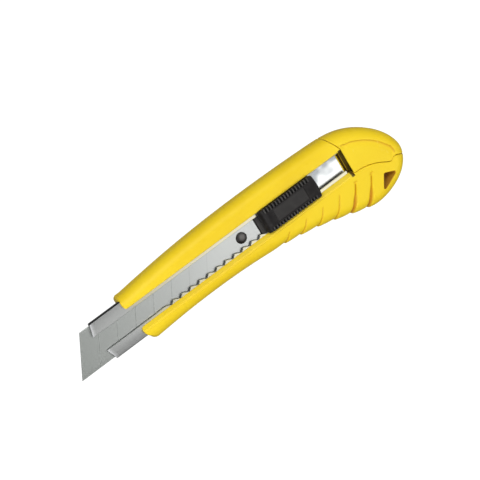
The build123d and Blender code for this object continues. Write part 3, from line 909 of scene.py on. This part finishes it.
def make_blade():
    """The blade: a slab whose stations lean with the score lines, ground down along the edge, with a shallow
    valley at each score line. u runs along it, v from the cutting edge to the spine."""
    tip, rear, base, top = blade_low[0], blade_high[0], blade_low[2], blade_high[2]
    width, corner, pitch, hole = 18.0, 2.0, 9.6, 2.65
    lean = width / np.tan(radians(60))
    scores = pitch * np.arange(1, 8)
    near = (scores[:, None] + np.array([-0.3, -0.16, -0.08, 0.0, 0.08, 0.16, 0.3])[None]).ravel()
    total = rear - tip
    u = np.unique(np.concatenate([[0, 0.1], np.arange(1.2, 78, 1.2), near, np.linspace(78, total, 18)]))
    u = u[(u >= 0) & (u <= total)]
    v = np.concatenate([
        [0, 0.02, 0.4, 0.8, 1.2, 1.5, 1.6, 1.7, 2.0], np.linspace(2.6, 17.6, 20), [17.92, width]])
    gentle = 1 - ease(u, 74, total - 4)
    x = tip + u[:, None] + lean * gentle[:, None] * v[None] / width
    x = np.minimum(x, rear - corner + np.clip(np.minimum(v, width - v), 0, corner)[None])
    y = np.broadcast_to(v[None] - width / 2, x.shape)
    sunk = 0.05 * np.clip(1 - v / 1.6, 0, 1) + 0.03 * (v > 17.95)
    apart = np.abs(u[:, None] - scores[None]).min(1)
    fading = 1 - 0.8 * ease(u, 30, 62)
    valley = 0.05 * np.clip(1 - apart / 0.13, 0, 1) * fading
    front = np.stack([x, y, top - sunk[None] - valley[:, None]], 2)
    behind = np.stack([x, y, np.broadcast_to(base + sunk, x.shape)], 2)
    loop = np.concatenate([front, behind[:, ::-1]], 1)
    faded = np.clip(1 - apart / 0.3, 0, 1) * fading
    marks = np.concatenate([np.broadcast_to(faded[:, None], x.shape), np.zeros(x.shape)], 1)
    piece = build("blade_plate", loop.reshape(-1, 3), tube_faces(*loop.shape[:2]), BLADE_STEEL, sharp=8.0,
                  layers={"score": marks.ravel()})
    cutter = build("blade_cutter", *plate(circle(hole, PEG_X), base - 1, top + 1, 0), None)
    return cut(piece, [cutter], sharp=8.0)


def make_button():
    """The slider: its top is a height over a grid whose outline has rounded corners and a bowed rear. The
    height drops down the front ramp, in the sunk panel and between the ribs, and rounds off at the rim."""
    (x0, y0, base), (x1, y1, top) = button_low, button_high
    middle, half = (y0 + y1) / 2, (y1 - y0) / 2
    length = x1 - x0
    corner, edge, pitch = 0.9, 0.55, 1.6  # plan corner, rim rounding, rib spacing
    u = np.concatenate([[0, 0.04, 0.12, 0.25, 0.42, 0.6, 0.8], np.arange(1.0, length - 1.0, 0.16),
                        length - np.array([0.9, 0.7, 0.5, 0.32, 0.18, 0.08, 0.03, 0])])
    v = np.concatenate([-1 + np.array([0, 0.004, 0.016, 0.035, 0.06, 0.09]), np.linspace(-0.88, 0.88, 72),
                        1 - np.array([0.09, 0.06, 0.035, 0.016, 0.004, 0])])
    into = np.minimum(u, length - u)
    width = half - corner + np.sqrt(np.clip(corner**2 - np.clip(corner - into, 0, None) ** 2, 0, None))
    y = middle + v[None] * width[:, None]
    bow = 0.4 * (1 - v**2)[None] * ease(u, length - 8, length)[:, None]
    x = np.minimum(x0 + u[:, None] * (length - 0.4) / length + bow, x1)
    # Distance from the rim, for its rounding.
    inset = np.minimum(into[:, None], width[:, None] * (1 - np.abs(v))[None])
    rounding = edge - np.sqrt(np.clip(edge**2 - np.clip(edge - inset, 0, None) ** 2, 0, None))
    run = x - x0
    slope = 2.3 * (1 - ease(run, -2.2, 4.2)) + 0.5 * (1 - ease(run, 0, 1.5))
    s, t = run - length / 2, np.abs(y - middle)
    # Ribs: the gaps between them run in from each long edge.
    phase = np.abs((s / pitch + 0.5) % 1 - 0.5) * pitch
    gap = 1 - ease(phase, 0.34, 0.48)
    ribbed = 1 - ease(half - t, 1.75, 2.0)
    ribbed *= ease(u, 2.2, 2.6)[:, None] * (1 - ease(u, length - 2.6, length - 2.2))[:, None]
    panel = (1 - ease(np.abs(s), 8.5, 8.9)) * (1 - ease(t, 2.95, 3.2)) * 0.42
    crown = 0.18 * (t / half) ** 2
    z = np.maximum(top - rounding - slope - np.maximum(0.85 * gap * ribbed, panel) - crown, base + 0.4)
    # The sides lean in below the handle's face, and the underside is hollow over the carrier and the spring.
    foot_y = middle + (y - middle) * np.where(y > middle, 0.875, 0.96)
    room = ease(foot_y - foot_y[:, :1], 0.45, 0.6) * ease(foot_y[:, -1:] - foot_y, 0.6, 0.75)
    room *= (ease(u, 1.1, 1.3) * (1 - ease(u, length - 1.3, length - 1.1)))[:, None]
    verts = np.concatenate([
        np.stack([x, y, z], 2).reshape(-1, 3), np.stack([x, foot_y, base + 1.75 * room], 2).reshape(-1, 3)])
    # The top and the underside are grids with one outline, joined by the sides.
    rows, cols = x.shape
    total = rows * cols
    faces = ring_faces(rows, cols, wrap=False)
    under = [quad[::-1] for quad in ring_faces(rows, cols, start=total, wrap=False)]
    border = np.concatenate([
        np.arange(cols), np.arange(1, rows) * cols + cols - 1,
        (rows - 1) * cols + np.arange(cols - 2, -1, -1), np.arange(rows - 2, 0, -1) * cols])
    after = np.roll(border, -1)
    sides = np.stack([border, border + total, after + total, after], 1).tolist()
    # Painted shade, near black, in the gaps between the ribs; a painted sheen on the rib tops and the sunk
    # panel.
    painted_pit_shade = gap * ribbed
    painted_sheen_mask = np.clip(0.36 * (1 - gap) * ribbed + 0.16 * (panel > 0.3), 0, 1)
    none = np.zeros(total)
    return build("slider_grip", verts, faces + under + sides, BLACK, sharp=38.0, layers={
        "hollow": np.concatenate([painted_pit_shade.ravel(), none]), "painted_sheen": np.concatenate([painted_sheen_mask.ravel(), none])})


def make_carrier():
    """The carrier: rounded slabs for the base, the tongue under the blade, the neck and the head, and a
    domed peg whose profile is a quarter ellipse turned about its axis."""
    tail = node_box("blade_carrier")[1][0]
    rear, blade_top = blade_high[0], blade_high[2]
    peg, peg_top = 2.45, blade_top + 0.5
    parts = [
        plate(round_loop(block(rear + 0.4, tail, -9.05, 9.05), 0.8), 9.05, 10.4, 0.25),
        plate(round_loop(block(rear - 13.1, rear + 0.8, -6.3, 6.3), 1.5), 9.05, 9.4, 0.1),
        plate(round_loop(block(0.7, 24.7, -1.3, 3.3), 0.6), 10.2, LIP + 1.4, 0.2),
        plate(round_loop(block(0.7, 24.7, -1.3, 4.2), 0.6), LIP + 0.8, LIP + 1.4, 0.2),
    ]
    turn = np.linspace(0, pi / 2, 9)[:-1]
    radius = np.concatenate([[peg, peg], peg * np.cos(turn) ** 0.8])
    level = np.concatenate([[9.2, 9.9], blade_top - 0.1 + (peg_top - blade_top + 0.1) * np.sin(turn)])
    rings = [np.insert(circle(r, PEG_X), 2, z, axis=1) for r, z in zip(radius, level)]
    parts.append((np.concatenate(rings), tube_faces(len(rings), len(rings[0]))))
    verts, faces = join_shells(parts)
    # Painted highlight: a lighter patch on the top of the peg's dome.
    off = np.hypot(verts[:, 0] - PEG_X - 0.4, verts[:, 1] - 0.3)
    wear_and_sheen = (1 - ease(off, 0.6, 2.3)) * (verts[:, 2] > blade_top)
    return build("carrier_block", verts, faces, BLACK, sharp=30.0, layers={"painted_sheen": wear_and_sheen})


handle_shell = make_handle()
cap_shell, cap_plug = make_cap()
channel_sheet = make_channel()
blade_plate = make_blade()
slider_grip = make_button()
carrier_block = make_carrier()

for piece, body, cad_node, finish in (
    (handle_shell, "handle", "handle_body", "yellow_plastic"),
    (channel_sheet, "handle", "blade_channel", "channel_steel"),
    (cap_shell, "cap", "end_cap", "yellow_plastic"),
    (blade_plate, "carriage", "blade", "blade_steel"),
    (carrier_block, "carriage", "blade_carrier", "black_plastic"),
    (slider_grip, "button", "slider_button", "black_plastic"),
):
    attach(piece, body)
    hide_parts(cad_node)
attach(cap_plug, "cap")
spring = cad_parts["lock_spring"]
spring.data.materials.clear()
spring.data.materials.append(SPRING_STEEL)

# ---- floor, light and camera


def make_floor():
    """A wide pale sheet that rises gently towards its rim, so that no horizon shows."""
    n = 40
    s = np.linspace(-1, 1, n)
    x, y = np.meshgrid(s * 1.6, s * 1.6, indexing="ij")
    z = -0.030 + 0.10 * np.clip(np.hypot(x, y) - 1.0, 0, None) ** 2
    verts = np.stack([x, y, z], 2).reshape(-1, 3)
    mesh = bpy.data.meshes.new("floor_sheet")
    mesh.from_pydata(verts.tolist(), [], ring_faces(n, n, wrap=False))
    mesh.shade_smooth()
    floor = show("floor_sheet", mesh)
    made, tree, shader = material("pale_floor")
    shader.inputs["Base Color"].default_value = (0.3, 0.3, 0.3, 1)
    shader.inputs["Roughness"].default_value = 0.9
    glow = node(tree, "ShaderNodeEmission", {"Color": (1, 1, 1, 1), "Strength": 1.2})
    path = node(tree, "ShaderNodeLightPath")
    share = math(tree, path.outputs["Is Camera Ray"], 0.9)
    blend = node(tree, "ShaderNodeMixShader", {0: share, 1: shader.outputs[0], 2: glow.outputs[0]})
    tree.links.new(blend.outputs[0], tree.nodes["Material Output"].inputs[0])
    mesh.materials.append(made)


def area_light(name, place, size, power):
    """A soft rectangular light at a place in metres, turned to the origin."""
    data = bpy.data.lights.new(name, "AREA")
    data.shape = "RECTANGLE"
    data.size, data.size_y = size
    data.energy = power
    lamp = show(name, data)
    lamp.location = place
    lamp.rotation_mode = "QUATERNION"
    lamp.rotation_quaternion = (-Vector(place)).to_track_quat("-Z", "Y")


make_floor()
area_light("key_soft", (-0.05, 0.48, 0.68), (0.7, 0.45), 3.5)
area_light("front_soft", (-0.45, -0.10, 0.62), (0.6, 0.5), 2.3)
area_light("card_soft", (0.32, -0.23, 0.65), (0.42, 0.55), 1.05)
world = bpy.data.worlds.new("studio")
world.use_nodes = True
sky = world.node_tree.nodes["Background"]
sky.inputs["Color"].default_value = (1, 1, 1, 1)
sky.inputs["Strength"].default_value = 0.31
scene = bpy.context.scene
scene.world = world

# Camera: aimed at the blade's peg, turned about the object's axes and rolled.
aim = Vector((blade_high[0] - 9.5, -0.4, 10.0)) * MM
azimuth, elevation, roll = radians(215.95), radians(67.04), radians(109.57)
distance = 0.5657
back = Vector((sin(azimuth) * cos(elevation), -cos(azimuth) * cos(elevation), sin(elevation)))
side = Vector((0, 0, 1)).cross(back).normalized()
over = back.cross(side)
right = side * cos(roll) + over * sin(roll)
up = back.cross(right)
lens = bpy.data.cameras.new("view_camera")
lens.lens = 97.49
lens.sensor_width = 36.0
lens.clip_start, lens.clip_end = 0.01, 20.0
camera = show("view_camera", lens)
turned = Matrix((right, up, back)).transposed().to_4x4()
camera.matrix_world = Matrix.Translation(aim + back * distance) @ turned
scene.camera = camera
scene.view_settings.view_transform = "Standard"
